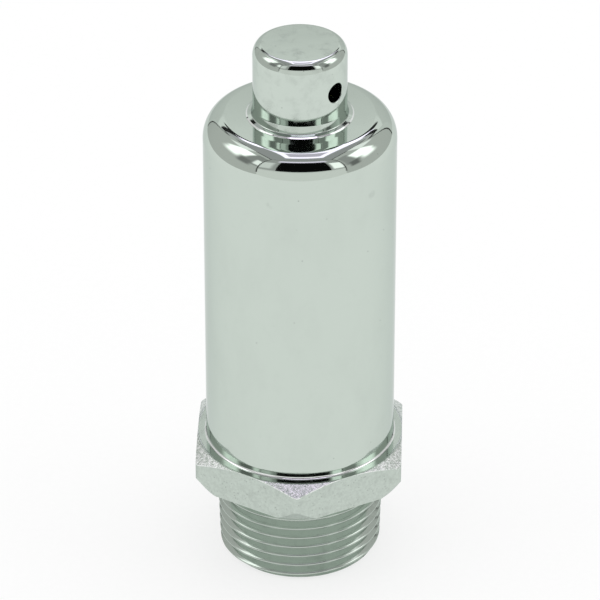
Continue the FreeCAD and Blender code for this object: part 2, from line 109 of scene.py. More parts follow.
class VentCapSettings(bpy.types.PropertyGroup):
    side: length("Side", "Radius of the cap's side", 7.43)
    lip: length("Foot lip", "Height of the foot's upright edge", 0.04)
    bevel: length("Foot bevel", "Width of the bevel inside the foot's edge", 0.22)
    bevel_slope: turn("Bevel slope", "Slope of the foot's bevel", 32.0)
    foot_slope: turn("Foot slope", "Slope of the foot's upper side", 16.0)
    flare: length("Flare", "Radius between the side and the cone above the foot", 1.6)
    flare_slope: turn("Flare slope", "Lean of the cone above the foot", 10.5)
    cone: length("Cone", "Height of the cone above the foot", 1.0)
    fillet: length("Fillet", "Radius between the flare and the foot", 0.2)
    edge_run: length("Edge run", "Width of the rounded top edge", 1.4)
    edge_drop: length("Edge drop", "Height of the rounded top edge", 2.1)
    neck: length("Neck", "Radius of the neck that goes through the shell", 5.5)
    bore: length("Bore", "Radius of the air chamber", 4.0)
    top: length("Top", "Thickness of the cap's top", 3.0)
    outlet: length("Outlet", "Radius of the side hole", 1.6)
    outlet_rise: length("Outlet rise", "Height of the side hole above the shoulder", 6.2)
    outlet_turn: turn("Outlet turn", "Direction of the side hole from +X", -41.0)
    outlet_edge: length("Outlet edge", "Rounding of the side hole's edge", 0.16)


class VentBaseSettings(bpy.types.PropertyGroup):
    across_flats: length("Across flats", "Width of the hexagon", 33.3)
    height: length("Hexagon height", "Height of the hexagon", 6.2)
    hex_turn: turn("Hexagon turn", "Turn of the front corner from -Y", -1.8)
    corner_round: length("Corner rounding", "Rounding of the hexagon's corners", 1.2)
    top_land: length("Top land", "Width of the flat ring outside the shell", 1.5)
    top_angle: turn("Top chamfer", "Slope of the top corners", 30.0)
    under_cut: length("Under cut", "Height of the chamfer of the lower corners", 2.3)
    under_angle: turn("Under chamfer", "Slope of the lower corners", 56.0)
    bead: length("Bead", "Radius of the plated fillet at the shell's foot", 0.34)
    spigot_gap: length("Spigot gap", "Gap between the spigot and the shell", 0.05)
    ring_depth: length("Ring depth", "Depth of the groove of the joint ring", 0.8)
    seat: length("Support seat", "Radius of the seat of the float's support", 12.0)
    inlet: length("Inlet", "Radius of the bore", 9.0)
    inlet_chamfer: length("Inlet chamfer", "Chamfer at the bore's mouth", 0.6)


class VentThreadSettings(bpy.types.PropertyGroup):
    pitch: length("Pitch", "Distance from crest to crest", 25.4 / 14)
    end: length("End radius", "Crest radius at the thread's end", 13.15)
    taper: share("Half taper", "Radius gained per length", 1 / 32)
    depth: length("Depth", "Height of the ridge", 1.2)
    crest: length("Crest", "Flat width of the crest", 0.25)
    root: length("Root", "Flat width of the root", 0.15)
    lead_in: length("Lead-in", "Chamfer at the thread's end", 1.1)
    relief: length("Relief", "Height of the plain neck under the hexagon", 1.3)
    relief_step: length("Relief step", "Slope from the root down to the neck", 0.3)


class VentFinishSettings(bpy.types.PropertyGroup):
    chrome: colour("Chrome", "Colour of the plating", (0.575, 0.645, 0.588))
    brass: colour("Brass", "Colour of turned brass", (0.70, 0.48, 0.19))
    float_brass: colour("Float brass", "Colour of the drawn float", (0.76, 0.56, 0.27))
    bronze: colour("Bronze", "Colour of the diaphragm", (0.62, 0.38, 0.19))
    solder: colour("Solder", "Colour of soft solder", (0.50, 0.51, 0.52))
    spring_steel: colour("Spring steel", "Colour of the snap ring", (0.22, 0.24, 0.29))
    stainless: colour("Stainless", "Colour of the needle", (0.60, 0.60, 0.59))
    fibre: colour("Fibre", "Colour of the sealing washers", (0.26, 0.07, 0.045))


class VentStageSettings(bpy.types.PropertyGroup):
    elevation: turn("Camera elevation", "Camera's angle above the floor", 31.4)
    distance: length("Camera distance", "From the aimed point to the camera", 703.1)
    aim: length("Camera aim", "Height of the aimed point", 45.8)
    lens: bpy.props.FloatProperty(name="Lens", description="Focal length in millimetres",
                                  default=262.7, min=10.0)
    day: share("Room light", "Strength of the light from all round", 0.93)
    lamp: bpy.props.FloatProperty(name="Lamp power", description="Power of each soft lamp",
                                  default=0.8, unit="POWER")


GROUPS = {"vent_shell": VentShellSettings, "vent_cap": VentCapSettings,
          "vent_base": VentBaseSettings, "vent_thread": VentThreadSettings,
          "vent_finish": VentFinishSettings, "vent_stage": VentStageSettings}


# ---------------------------------------------------------------- shader maths
class Shade:
    """A shader socket.  Python's arithmetic on it adds Math nodes to its tree."""

    def __init__(self, paint, socket):
        self.paint = paint
        self.socket = socket

    def math(self, operation, *others, clamp=False):
        settings = {"operation": operation, "use_clamp": clamp}
        return self.paint.node("ShaderNodeMath", settings, dict(enumerate((self, *others))))

    def __add__(self, other):
        return self.math("ADD", other)

    def __sub__(self, other):
        return self.math("SUBTRACT", other)

    def __rsub__(self, other):
        return self.paint.node("ShaderNodeMath", {"operation": "SUBTRACT"}, {0: other, 1: self})

    def __mul__(self, other):
        return self.math("MULTIPLY", other)

    __radd__ = __add__
    __rmul__ = __mul__

    def clip(self):
        return self.math("ADD", 0.0, clamp=True)

    def rise(self, low, high):
        """0 below low and 1 above high, smooth between; falling where high is the lower."""
        return self.paint.node("ShaderNodeMapRange", {"interpolation_type": "SMOOTHSTEP"},
                               {"Value": self, "From Min": low, "From Max": high})

    def window(self, low, high, soft):
        """1 between low and high, with soft edges outside them."""
        return self.rise(low - soft, low) * self.rise(high + soft, high)


class Paint:
    """The node tree of a material or a world, under construction."""

    def __init__(self, owner):
        self.owner = owner
        owner.use_nodes = True
        self.tree = owner.node_tree
        self.tree.nodes.clear()

    def node(self, kind, settings=None, inputs=None, output=0):
        """A node of any type: its settings first, then its sockets' values or links."""
        made = self.tree.nodes.new(kind)
        for name, value in (settings or {}).items():
            setattr(made, name, value)
        for name, value in (inputs or {}).items():
            if isinstance(value, Shade):
                self.tree.links.new(value.socket, made.inputs[name])
            else:
                made.inputs[name].default_value = value
        return Shade(self, made.outputs[output]) if made.outputs else None

    def place(self, stretch=(1.0, 1.0, 1.0)):
        """Object coordinates in millimetres, stretched along the axes."""
        coordinates = self.node("ShaderNodeTexCoord", output="Object")
        size = tuple(s / MM for s in stretch)
        return self.node("ShaderNodeMapping", {"vector_type": "POINT"},
                         {"Vector": coordinates, "Scale": size})

    def axes(self):
        """Object coordinates as three numbers, in metres."""
        coordinates = self.node("ShaderNodeTexCoord", output="Object")
        return [self.node("ShaderNodeSeparateXYZ", None, {0: coordinates}, output=i)
                for i in range(3)]

    def radius(self):
        """Distance from the vent's axis."""
        across, along, _ = self.axes()
        return (across * across + along * along).math("SQRT")

    def noise(self, size, detail=2.0, roughness=0.5, stretch=(1.0, 1.0, 1.0)):
        """Cloudy noise from 0 to 1 whose features are about size millimetres across."""
        return self.node("ShaderNodeTexNoise", {"noise_dimensions": "3D"},
                         {"Vector": self.place(stretch), "Scale": 1.0 / size, "Detail": detail,
                          "Roughness": roughness})

    def spots(self, spacing):
        """Distance from the nearest of scattered points, in spacings."""
        return self.node("ShaderNodeTexVoronoi", {"feature": "F1"},
                         {"Vector": self.place(), "Scale": 1.0 / spacing}, output="Distance")

    def mix(self, share, first, second):
        """Colour between two colours."""
        return self.node("ShaderNodeMix", {"data_type": "RGBA"},
                         {0: share, 6: first, 7: second}, output=2)

    def bump(self, height, millimetres):
        """Normal of a surface whose relief is height times so many millimetres."""
        return self.node("ShaderNodeBump", None,
                         {"Height": height, "Distance": millimetres * MM, "Strength": 1.0})

    def seen(self):
        """1 for rays that come straight, by a mirror or through glass from the camera."""
        rays = [self.node("ShaderNodeLightPath", output=name)
                for name in ("Is Camera Ray", "Is Glossy Ray", "Is Transmission Ray")]
        return (rays[0] + rays[1] + rays[2]).clip()

    def glow(self, shade):
        """Light of a colour, at full strength."""
        return self.node("ShaderNodeEmission", None, {"Color": shade, "Strength": 1.0})

    def surface(self, shader):
        """Ends the material's tree with a shader and returns the material."""
        self.node("ShaderNodeOutputMaterial", None, {"Surface": shader})
        return self.owner

    def metal(self, shade, roughness, normal):
        """Ends the material's tree with a metallic surface and returns the material."""
        return self.surface(self.node("ShaderNodeBsdfPrincipled", None, {
            "Base Color": shade, "Roughness": roughness, "Metallic": 1.0,
            "Specular Tint": GRAZING_TINT, "Normal": normal}))


def rgba(value, gain=1.0):
    return (*(channel * gain for channel in value), 1.0)


def new_material(name):
    return Paint(bpy.data.materials.new(name))


# ---------------------------------------------------------------- finishes of the chrome
def chrome_shell_finish(colours):
    """Polished plate on drawn brass: wide faint smears, small dull marks and a few specks."""
    paint = new_material("polished_chrome_shell")
    smear = paint.noise(7.0, 3.0, 0.55, (1.0, 1.0, 0.45)).rise(0.42, 0.72)
    cloud = paint.noise(2.6, 4.0, 0.6)
    speck = paint.spots(3.1).rise(0.055, 0.02)
    mark = paint.spots(9.0).rise(0.11, 0.05) * cloud.rise(0.45, 0.62)
    scuff = paint.noise(1.1, 5.0, 0.8, (1.0, 1.0, 0.6)).rise(0.60, 0.72)
    dull = (smear * 0.30 + mark * 0.9 + cloud.rise(0.5, 0.8) * 0.2 + scuff * smear * 0.6).clip()
    shade = paint.mix(dull, rgba(colours.chrome), rgba(colours.chrome, 0.91))
    shade = paint.mix(speck, shade, rgba(colours.chrome, 0.72))
    wave = paint.noise(11.0, 1.0, 0.4, (1.0, 1.0, 0.5))
    normal = paint.bump(wave, 0.012)
    return paint.metal(shade, 0.045 + dull * 0.09 + speck * 0.2, normal)


def chrome_cap_finish(colours):
    """Turned and polished plate, with soft cloudy patches on its flat top and a painted highlight
    round the foot's edge.
    """
    paint = new_material("polished_chrome_cap")
    cloud = paint.noise(1.9, 4.0, 0.6)
    speck = paint.spots(2.3).rise(0.06, 0.02)
    dull = cloud.rise(0.44, 0.74)
    shade = paint.mix(dull, rgba(colours.chrome), rgba(colours.chrome, 0.91))
    shade = paint.mix(speck, shade, rgba(colours.chrome, 0.5))
    # Painted highlight: a thin ring at the foot's outer edge is mixed to a bright plate colour.
    lip = paint.radius().rise(CAP_HIGH.x - 0.24 * MM, CAP_HIGH.x - 0.20 * MM)
    shade = paint.mix(lip, shade, PAINTED_HIGHLIGHT)
    wave = paint.noise(4.0, 2.0, 0.5)
    return paint.metal(shade, 0.05 + dull * 0.10, paint.bump(wave, 0.006))


def chrome_base_finish(colours):
    """Plate on a rough casting: pitted flats, grainy chamfers, painted glints on chamfers and bead,
    painted shade on the thread.
    """
    paint = new_material("pitted_chrome_base")
    base = bpy.context.scene.vent_base
    radius, up = paint.radius(), paint.axes()[2]
    top, shell = SHELL_LOW.z, SHELL_HIGH.x
    land = shell + base.top_land
    low, flat = top - base.height, base.across_flats / 2
    thread = up.rise(low + 0.02 * MM, low - 0.02 * MM)
    outside = radius.rise(flat - 0.10 * MM, flat - 0.02 * MM)
    rough = outside * (1 - thread)
    above = up - (top - (radius - land) * math.tan(base.top_angle))
    chamfer = rough * above.rise(-0.06 * MM, -0.02 * MM) * radius.rise(land, land + 0.02 * MM)
    # Painted highlight: a dotted bright line on the flats just under the top chamfer's edge.
    edge = rough * above.window(-0.16 * MM, -0.02 * MM, 0.05 * MM)
    edge = edge * up.rise(top - 0.05 * MM, top - 0.12 * MM)
    # Painted highlight: the plated bead at the shell's foot is painted bright.
    bead = radius.window(shell, shell + base.bead, 0.02 * MM) * up.rise(top, top + 0.02 * MM)
    grain = paint.noise(0.16, 3.0, 0.65)
    spark = paint.noise(0.45, 4.0, 0.75)
    pits = paint.spots(0.55).rise(0.30, 0.12) * paint.noise(1.4, 2.0).rise(0.42, 0.6)
    cloud = paint.noise(2.2, 3.0, 0.6)
    mottle = paint.noise(0.5, 4.0, 0.75).rise(0.35, 0.68)
    # Painted shade: the thread under the hexagon's overhang is darkened; the cloud adds random dull
    # tone.
    dull = cloud.rise(0.5, 0.8) * 0.25 + thread * 0.34
    # Pits and mottle are wear on the casting; through dull this also carries the thread's painted
    # shade.
    worn = (pits * rough * 0.7 + dull + mottle * rough * 0.36).clip()
    shade = paint.mix(worn, rgba(colours.chrome), rgba(colours.chrome, 0.62))
    # Painted highlights: the edge line and chamfer where the spark noise is high, and the whole
    # bead, are mixed to a bright plate colour.
    painted_glints = (edge * spark.rise(0.40, 0.52) + chamfer * spark.rise(0.5, 0.66) * 0.8 + bead).clip()
    shade = paint.mix(painted_glints, shade, PAINTED_HIGHLIGHT)
    height = grain * rough + (1 - pits * rough) * 0.8 + spark * chamfer * 7.0
    normal = paint.bump(height, 0.012)
    roughness = 0.10 + rough * 0.22 - chamfer * 0.18 + thread * 0.02
    roughness = roughness + cloud.rise(0.45, 0.75) * 0.06
    return paint.metal(shade, roughness, normal)


# ---------------------------------------------------------------- finishes of the inner pieces
def turned_finish(name, base, roughness, ring=0.05, stain=0.8):
    """Turned or drawn metal: fine rings round the axis and soft tarnish."""
    paint = new_material(name)
    radius, up = paint.radius(), paint.axes()[2]
    rings = ((radius + up) * (math.tau / (ring * MM))).math("SINE")
    tarnish = paint.noise(2.5, 4.0, 0.6).rise(0.35, 0.75)
    shade = paint.mix(tarnish, rgba(base), rgba(base, stain))
    normal = paint.bump(rings * paint.noise(0.8, 1.0), 0.0006)
    return paint.metal(shade, roughness + tarnish * 0.12, normal)


def brass_finish(colours):
    return turned_finish("turned_brass", colours.brass, 0.24, 0.14)


def float_brass_finish(colours):
    return turned_finish("drawn_brass", colours.float_brass, 0.20, 0.5, 0.86)


def bronze_finish(colours):
    return turned_finish("rolled_bronze", colours.bronze, 0.28, 0.3, 0.78)


def stainless_finish(colours):
    return turned_finish("ground_stainless", colours.stainless, 0.2, 0.08, 0.9)


def solder_finish(colours):
    """Wiped soft solder: lumpy, dull, with brighter worn tops."""
    paint = new_material("soft_solder")
    lumps = paint.noise(0.9, 3.0, 0.55)
    rubbed = lumps.rise(0.4, 0.7)
    shade = paint.mix(rubbed, rgba(colours.solder, 0.8), rgba(colours.solder, 1.15))
    return paint.metal(shade, 0.52 - rubbed * 0.18, paint.bump(lumps, 0.05))


def spring_steel_finish(colours):
    """Oiled, blued spring steel with straw-coloured heat tint in places."""
    paint = new_material("blued_spring_steel")
    tint = paint.noise(3.0, 2.0).rise(0.45, 0.7)
    shade = paint.mix(tint, rgba(colours.spring_steel), (0.30, 0.25, 0.20, 1.0))
    return paint.metal(shade, 0.32 + tint * 0.1, paint.bump(paint.noise(0.3, 2.0), 0.004))


def fibre_finish(colours):
    """Vulcanised fibre: matte, flecked red-brown board."""
    paint = new_material("vulcanised_fibre")
    flecks = paint.noise(0.25, 3.0, 0.7)
    shade = paint.mix(flecks.rise(0.35, 0.7), rgba(colours.fibre, 0.75), rgba(colours.fibre, 1.25))
    return paint.surface(paint.node("ShaderNodeBsdfPrincipled", None, {
        "Base Color": shade, "Roughness": 0.72 + flecks * 0.15,
        "Normal": paint.bump(flecks, 0.03)}))


FINISHES = {
    brass_finish: ["float_support", "splash_baffle", "cap_lock_nut", "valve_seat", "pin_guide",
                   "pin_boss", "pin_lock_nut", "diaphragm_clamp_ring", "diaphragm_button",
                   "button_rivet"],
    float_brass_finish: ["float_upper_shell", "float_lower_shell", "float_guide_ring"],
    bronze_finish: ["diaphragm_disc"],
    stainless_finish: ["valve_pin"],
    solder_finish: ["shell_joint_ring", "float_seam_band", "fill_plug"],
    spring_steel_finish: ["support_snap_ring"],
    fibre_finish: ["cap_gasket", "seat_gasket"],
    chrome_shell_finish: ["body_shell"],
    chrome_cap_finish: ["vent_cap"],
    chrome_base_finish: ["base_nipple"],
}


# ---------------------------------------------------------------- surfaces
def stretch(r, z, dr, dz):
    """Profile points (radius, height) with their outward normals, which are the direction
    of travel (dr, dz) turned a quarter turn to the right."""
    size = np.hypot(dr, dz)
    return np.stack([r, z, dz / size, -dr / size], axis=-1)


def line(start, end, steps=1):
    """Straight stretch of a profile: start + (end - start) t."""
    t = np.linspace(0.0, 1.0, steps + 1)
    dr, dz = end[0] - start[0], end[1] - start[1]
    return stretch(start[0] + dr * t, start[1] + dz * t, dr + 0 * t, dz + 0 * t)


def path(*points):
    """Straight stretches from point to point."""
    return [line(a, b) for a, b in zip(points, points[1:])]


def arc(centre, radii, first, last, steps=16):
    """Elliptic stretch: centre + (a cos t, b sin t) for t from first to last, in degrees."""
    t = np.radians(np.linspace(first, last, steps + 1))
    a, b = radii
    way = 1.0 if last > first else -1.0
    return stretch(centre[0] + a * np.cos(t), centre[1] + b * np.sin(t),
                   -a * np.sin(t) * way, b * np.cos(t) * way)


def swept(profile, angles):
    """A profile stretch carried round Z: (r cos a, r sin a, z), and its normals likewise."""
    r, z, nr, nz = (column[:, None] for column in profile.T)
    c, s = np.cos(angles)[None, :], np.sin(angles)[None, :]
    points = np.stack([r * c, r * s, z + 0 * c], axis=-1)
    normals = np.stack([nr * c, nr * s, nz + 0 * c], axis=-1)
    return points, normals


def full_turn():
    """Angles once round; the last is the first again."""
    angles = np.linspace(0.0, 2 * np.pi, ROUND_STEPS + 1)
    angles[-1] = 0.0
    return angles


def revolved(stretches):
    """Every stretch of a profile carried once round Z."""
    return [swept(part, full_turn()) for part in stretches]


def pierced(radius, low, high, side, hole, middle, hole_z, half_height):
    """A cylinder's wall round Z from low to high with a round hole through it.

    Away from the hole the wall is (R cos a, R sin a, z).  Beside it, each point of a
    rectangle in (a, z) is joined to the point of the hole's rim that lies the same way from
    the hole's centre, and the grid runs between the two.  side is 1 for an outer wall and
    -1 for a bore.  Returns the patches and the angles of the rim's points round the hole."""
    half_angle, steps = math.radians(35), 16
    step = 2 * np.pi / ROUND_STEPS
    first = round((middle - half_angle) / step) * step
    count = round(2 * half_angle / step)
    inside = first + step * np.arange(count + 1)
    outside = first + step * np.arange(count, ROUND_STEPS + 1)
    bottom, top = hole_z - half_height, hole_z + half_height
    rows = np.linspace(bottom, top, steps + 1)
    bands = (full_turn() + first, [low, bottom]), (full_turn() + first, [top, high]), (outside, rows)
    patches = [on_wall(radius, side, *np.meshgrid(angles, heights)) for angles, heights in bands]
    a = np.concatenate([inside, np.full(steps - 1, inside[-1]), inside[::-1],
                        np.full(steps, inside[0])])
    z = np.concatenate([np.full(count + 1, bottom), rows[1:-1], np.full(count + 1, top),
                        rows[-2::-1]])
    across = radius * np.sin(a - middle)
    around = np.arctan2(z - hole_z, across)
    t = np.linspace(0.0, 1.0, 9)[:, None] ** 1.4
    rim_across, rim_up = hole * np.cos(around), hole * np.sin(around)
    rim_a = middle + np.arcsin(rim_across / radius)
    grid_a = rim_a + (a - rim_a) * t
    grid_z = hole_z + rim_up + (z - hole_z - rim_up) * t
    return patches + [on_wall(radius, side, grid_a, grid_z)], around


def on_wall(radius, side, a, z):
    """Points (R cos a, R sin a, z) of a cylinder's wall, and their normals."""
    c, s = np.cos(a), np.sin(a)
    return np.stack([radius * c, radius * s, z], axis=-1), side * np.stack([c, s, 0 * a], axis=-1)


def radial_tube(around, inner_around, angle, hole_z, outer_r, inner_r, hole, edge):
    """The side hole's rounded edge and its tube, from the outer wall to the bore.

    The edge goes from a rim of radius hole + edge on the wall to the tube, edge deep, along
    a quarter circle.  The tube goes on to the bore's wall, and its points turn on the way
    from around, the angles on the outer rim, to inner_around on the bore.  A point at
    (across, up) on the hole's section lies sqrt(R^2 - across^2) along the hole on a wall of
    radius R."""
    away = np.array([math.cos(angle), math.sin(angle), 0.0])
    sideways = np.array([-math.sin(angle), math.cos(angle), 0.0])
    upward = np.array([0.0, 0.0, 1.0])
    c, s = np.cos(around), np.sin(around)
    ring = c[..., None] * sideways + s[..., None] * upward
    w = np.linspace(0.0, np.pi / 2, 7)[:, None]
    radius = hole + edge * (1 - np.sin(w))
    depth = edge * (1 - np.cos(w))
    along = np.sqrt(outer_r ** 2 - (radius * c) ** 2) - depth
    centre = upward * hole_z
    points = centre + along[..., None] * away + radius[..., None] * ring
    wall = away * np.sqrt(1 - (radius * c / outer_r) ** 2)[..., None]
    wall = wall + sideways * (radius * c / outer_r)[..., None]
    normals = np.cos(w)[..., None] * wall - np.sin(w)[..., None] * ring
    t = np.linspace(0.0, 1.0, 5)[:, None]
    turned = around + ((inner_around - around + np.pi) % (2 * np.pi) - np.pi) * t
    c, s = np.cos(turned), np.sin(turned)
    ring = c[..., None] * sideways + s[..., None] * upward
    start = np.sqrt(outer_r ** 2 - (hole * c) ** 2) - edge
    end = np.sqrt(inner_r ** 2 - (hole * c) ** 2)
    reach = start + (end - start) * t
    tube = centre + reach[..., None] * away + hole * ring
    return [(points, normals), (tube, -ring)]


def closed_mesh(name, patches):
    """Welds grid patches into one closed mesh of triangles with exact corner normals.

    Points nearer than WELD are one vertex; triangles that lose a corner by that are dropped;
    each triangle is turned to the side that its normals point to."""
    points = np.concatenate([p.reshape(-1, 3) for p, _ in patches])
    normals = np.concatenate([n.reshape(-1, 3) for _, n in patches])
    corners, start = [], 0
    for p, _ in patches:
        rows, columns = p.shape[:2]
        index = start + np.arange(rows * columns).reshape(rows, columns)
        a, b, c, d = index[:-1, :-1], index[:-1, 1:], index[1:, 1:], index[1:, :-1]
        corners += [np.stack(three, -1).reshape(-1, 3) for three in ((a, b, c), (a, c, d))]
        start += rows * columns
    corners = np.concatenate(corners)
    keys = np.round(points / WELD).astype(np.int64)
    _, first, welded = np.unique(keys, axis=0, return_index=True, return_inverse=True)
    welded = welded.reshape(-1)
    faces = welded[corners]
    whole = (faces != np.roll(faces, 1, axis=1)).all(axis=1)
    corners, faces = corners[whole], faces[whole]
    spots = points[first]
    a, b, c = (spots[column] for column in faces.T)
    facing = np.cross(b - a, c - a)
    wrong = (facing * normals[corners].sum(axis=1)).sum(axis=1) < 0
    corners[wrong], faces[wrong] = corners[wrong][:, ::-1], faces[wrong][:, ::-1]
    mesh = bpy.data.meshes.new(name)
    mesh.vertices.add(len(spots))
    mesh.vertices.foreach_set("co", spots.astype(np.float32).ravel())
    mesh.loops.add(faces.size)
    mesh.loops.foreach_set("vertex_index", faces.astype(np.int32).ravel())
    mesh.polygons.add(len(faces))
    mesh.polygons.foreach_set("loop_start", np.arange(0, faces.size, 3, dtype=np.int32))
    mesh.polygons.foreach_set("use_smooth", np.ones(len(faces), bool))
    mesh.update(calc_edges=True)
    mesh.normals_split_custom_set(normals[corners].reshape(-1, 3))
    piece = bpy.data.objects.new(name, mesh)
    bpy.context.scene.collection.objects.link(piece)
    return piece


def fit_out(piece, node, finish):
    """Gives a new piece its place in the frame and its finish."""
    piece.data.materials.append(finish)
    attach(piece, BODY)
    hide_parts(node)


# ---------------------------------------------------------------- the drawn shell
def shell_profile(s):
    """Section of the shell: outer wall, elliptic roll-over, flat shoulder, and the same
    again inside, a wall's thickness in."""
    outer, low, high = SHELL_HIGH.x, SHELL_LOW.z, SHELL_HIGH.z
    inner, under = outer - s.wall, high - s.wall
    run, drop = s.roll_run, s.roll_drop
    in_run, in_drop = run - s.wall, drop - s.wall
    return [
        line((outer, low), (outer, high - drop), 24),
        arc((outer - run, high - drop), (run, drop), 0, 90, 56),
        line((outer - run, high), (s.neck_hole, high), 10),
        line((s.neck_hole, high), (s.neck_hole, under)),
        line((s.neck_hole, under), (inner - in_run, under), 4),
        arc((inner - in_run, under - in_drop), (in_run, in_drop), 90, 0, 16),
        line((inner, under - in_drop), (inner, low), 6),
        line((inner, low), (outer, low)),
    ]


# ---------------------------------------------------------------- the cap
def cap_patches(s):
    """Section of the cap carried round Z, with the side hole through its wall.

    The foot is drawn from a height of zero at the top of the flare, and wall_z lifts it to
    where its edge stands on the shoulder."""
    high, shoulder, neck_z = CAP_HIGH.z, SHELL_HIGH.z, CAP_LOW.z
    foot, radius = CAP_HIGH.x, s.side
    lean, steep = s.flare_slope, math.pi / 2 - s.foot_slope
    flare_end = radius + s.flare * (1 - math.cos(lean)), -s.flare * math.sin(lean)
    cone_end = flare_end[0] + s.cone * math.tan(lean), flare_end[1] - s.cone
    fillet = cone_end[0] + s.fillet * math.cos(lean), cone_end[1] + s.fillet * math.sin(lean)
    foot_start = fillet[0] - s.fillet * math.cos(steep), fillet[1] - s.fillet * math.sin(steep)
    lip_z = shoulder + s.lip
    bevel_end = foot - s.bevel, lip_z + s.bevel * math.tan(s.bevel_slope)
    foot_run = bevel_end[0] - foot_start[0]
    wall_z = bevel_end[1] + foot_run * math.tan(s.foot_slope) - foot_start[1]
    chamber_z = high - s.top
    hole_z = shoulder + s.outlet_rise
    gasket_out, gasket_z = GASKET_HIGH.x, GASKET_HIGH.z
    gasket_in = gasket_out - GASKET_WIDTH
    lean, steep = math.degrees(lean), math.degrees(steep)
    parts = revolved([
        *path((foot, shoulder), (foot, lip_z), bevel_end, (foot_start[0], wall_z + foot_start[1])),
        arc((fillet[0], wall_z + fillet[1]), (s.fillet, s.fillet), 180 + steep, 180 + lean, 10),
        line((cone_end[0], wall_z + cone_end[1]), (flare_end[0], wall_z + flare_end[1]), 4),
        arc((radius + s.flare, wall_z), (s.flare, s.flare), 180 + lean, 180, 8),
        arc((radius - s.edge_run, high - s.edge_drop), (s.edge_run, s.edge_drop), 0, 90, 40),
        line((radius - s.edge_run, high), (0.0, high), 8),
        line((0.0, chamber_z), (s.bore, chamber_z), 4),
        line((s.bore, neck_z), (s.neck, neck_z)),
        line((s.neck, neck_z), (s.neck, shoulder), 4),
        *path((s.neck, shoulder), (gasket_in, shoulder), (gasket_in, gasket_z),
              (gasket_out, gasket_z), (gasket_out, shoulder), (foot, shoulder)),
    ])
    rim = s.outlet + s.outlet_edge
    outer, around = pierced(radius, wall_z, high - s.edge_drop, 1, rim, s.outlet_turn, hole_z,
                            half_height=1.32 * rim)
    bore, bore_around = pierced(s.bore, neck_z, chamber_z, -1, s.outlet, s.outlet_turn, hole_z,
                                half_height=1.4 * s.outlet)
    tube = radial_tube(around, bore_around, s.outlet_turn, hole_z, radius, s.bore, s.outlet,
                       s.outlet_edge)
    return parts + outer + bore + tube


# ---------------------------------------------------------------- the threaded base
def hex_outline(s):
    """The hexagon's outline with rounded corners, once round from its front corner.

    Each side runs from one corner's arc to the next with points at even angles and where
    the round chamfers meet the flat.  Returns x, y and the outward normal."""
    half, rounding = s.across_flats / 2, s.corner_round
    reach = (half - rounding) / math.cos(math.radians(30))
    x, y, nx, ny = [], [], [], []
    side_end = (half - rounding) * math.tan(math.radians(30))
    lands = SHELL_HIGH.x + s.top_land, under_land(s)
    marks = [math.sqrt(r * r - half * half) for r in lands if r > half]
    offsets = np.linspace(-side_end, side_end, 41)
    offsets = np.unique(np.concatenate([offsets, marks, [-m for m in marks]]).round(9))
    bend = np.radians(np.linspace(-30, 30, 9))
    for side in range(6):
        corner = math.radians(60 * side - 90) + s.hex_turn
        a = corner + bend[1:-1]
        x.append(reach * math.cos(corner) + rounding * np.cos(a))
        y.append(reach * math.sin(corner) + rounding * np.sin(a))
        nx.append(np.cos(a))
        ny.append(np.sin(a))
        facing = corner + math.radians(30)
        c, d = math.cos(facing), math.sin(facing)
        x.append(half * c - offsets * d)
        y.append(half * d + offsets * c)
        nx.append(c + 0 * offsets)
        ny.append(d + 0 * offsets)
    loop = [np.concatenate(values) for values in (x, y, nx, ny)]
    return [np.append(values, values[0]) for values in loop]


def under_land(s):
    """Radius where the hexagon's lower chamfer starts."""
    return s.across_flats / math.sqrt(3) - s.under_cut / math.tan(s.under_angle)


def polar_band(angles, inner, outer, height):
    """Ring between two radii that vary with the angle, at height(radius): rows go from the
    inner to the outer radius."""
    t = np.linspace(0.0, 1.0, 7)[:, None]
    r = inner + (outer - inner) * t
    return np.stack([r * np.cos(angles), r * np.sin(angles), height(r)], axis=-1)


def hexagon_patches(s):
    """Top land, top chamfer, underside, lower chamfer and flats of the hexagon, and the
    angles of its columns."""
    x, y, nx, ny = hex_outline(s)
    edge, angles = np.hypot(x, y), np.arctan2(y, x)
    top, low = SHELL_LOW.z, SHELL_LOW.z - s.height
    land, under = SHELL_HIGH.x + s.top_land, under_land(s)
    slope, rise = math.tan(s.top_angle), math.tan(s.under_angle)
    bead_end = SHELL_HIGH.x + s.bead
    neck = thread_root(low)

    def chamfer_z(r):
        return top - np.maximum(r - land, 0.0) * slope

    def under_z(r):
        return low + np.maximum(r - under, 0.0) * rise

    flat_end, under_end = np.minimum(edge, land), np.minimum(edge, under)
    c, d = np.cos(angles), np.sin(angles)
    zero = 0 * angles
    up, down = np.stack([zero, zero, zero + 1], -1), np.stack([zero, zero, zero - 1], -1)
    size, low_size = math.hypot(1, slope), math.hypot(1, rise)
    tilted = np.stack([c * slope / size, d * slope / size, zero + 1 / size], -1)
    low_tilted = np.stack([c * rise / low_size, d * rise / low_size, zero - 1 / low_size], -1)
    bands = [(zero + bead_end, flat_end, chamfer_z, up), (flat_end, edge, chamfer_z, tilted),
             (zero + neck, under_end, under_z, down), (under_end, edge, under_z, low_tilted)]
    patches = []
    for inner, outer, height, normal in bands:
        points = polar_band(angles, inner, outer, height)
        patches.append((points, np.broadcast_to(normal, points.shape)))
    t = np.linspace(0.0, 1.0, 9)[:, None]
    z = under_z(edge) + (chamfer_z(edge) - under_z(edge)) * t
    flats = np.stack([x + 0 * z, y + 0 * z, z], axis=-1)
    patches.append((flats, np.broadcast_to(np.stack([nx, ny, zero], -1), flats.shape)))
    return patches, angles


def thread_root(z):
    """Radius of the nipple's core under the thread: tapered up to the relief, then a plain
    neck that is as thick as the core's lower end."""
    s = bpy.context.scene.vent_thread
    end = s.end - s.depth
    hexagon = SHELL_LOW.z - bpy.context.scene.vent_base.height
    relief = hexagon - s.relief
    tapered = end + z * s.taper
    step = np.clip((z - relief) / s.relief_step, 0.0, 1.0)
    return tapered * (1 - step) + end * step


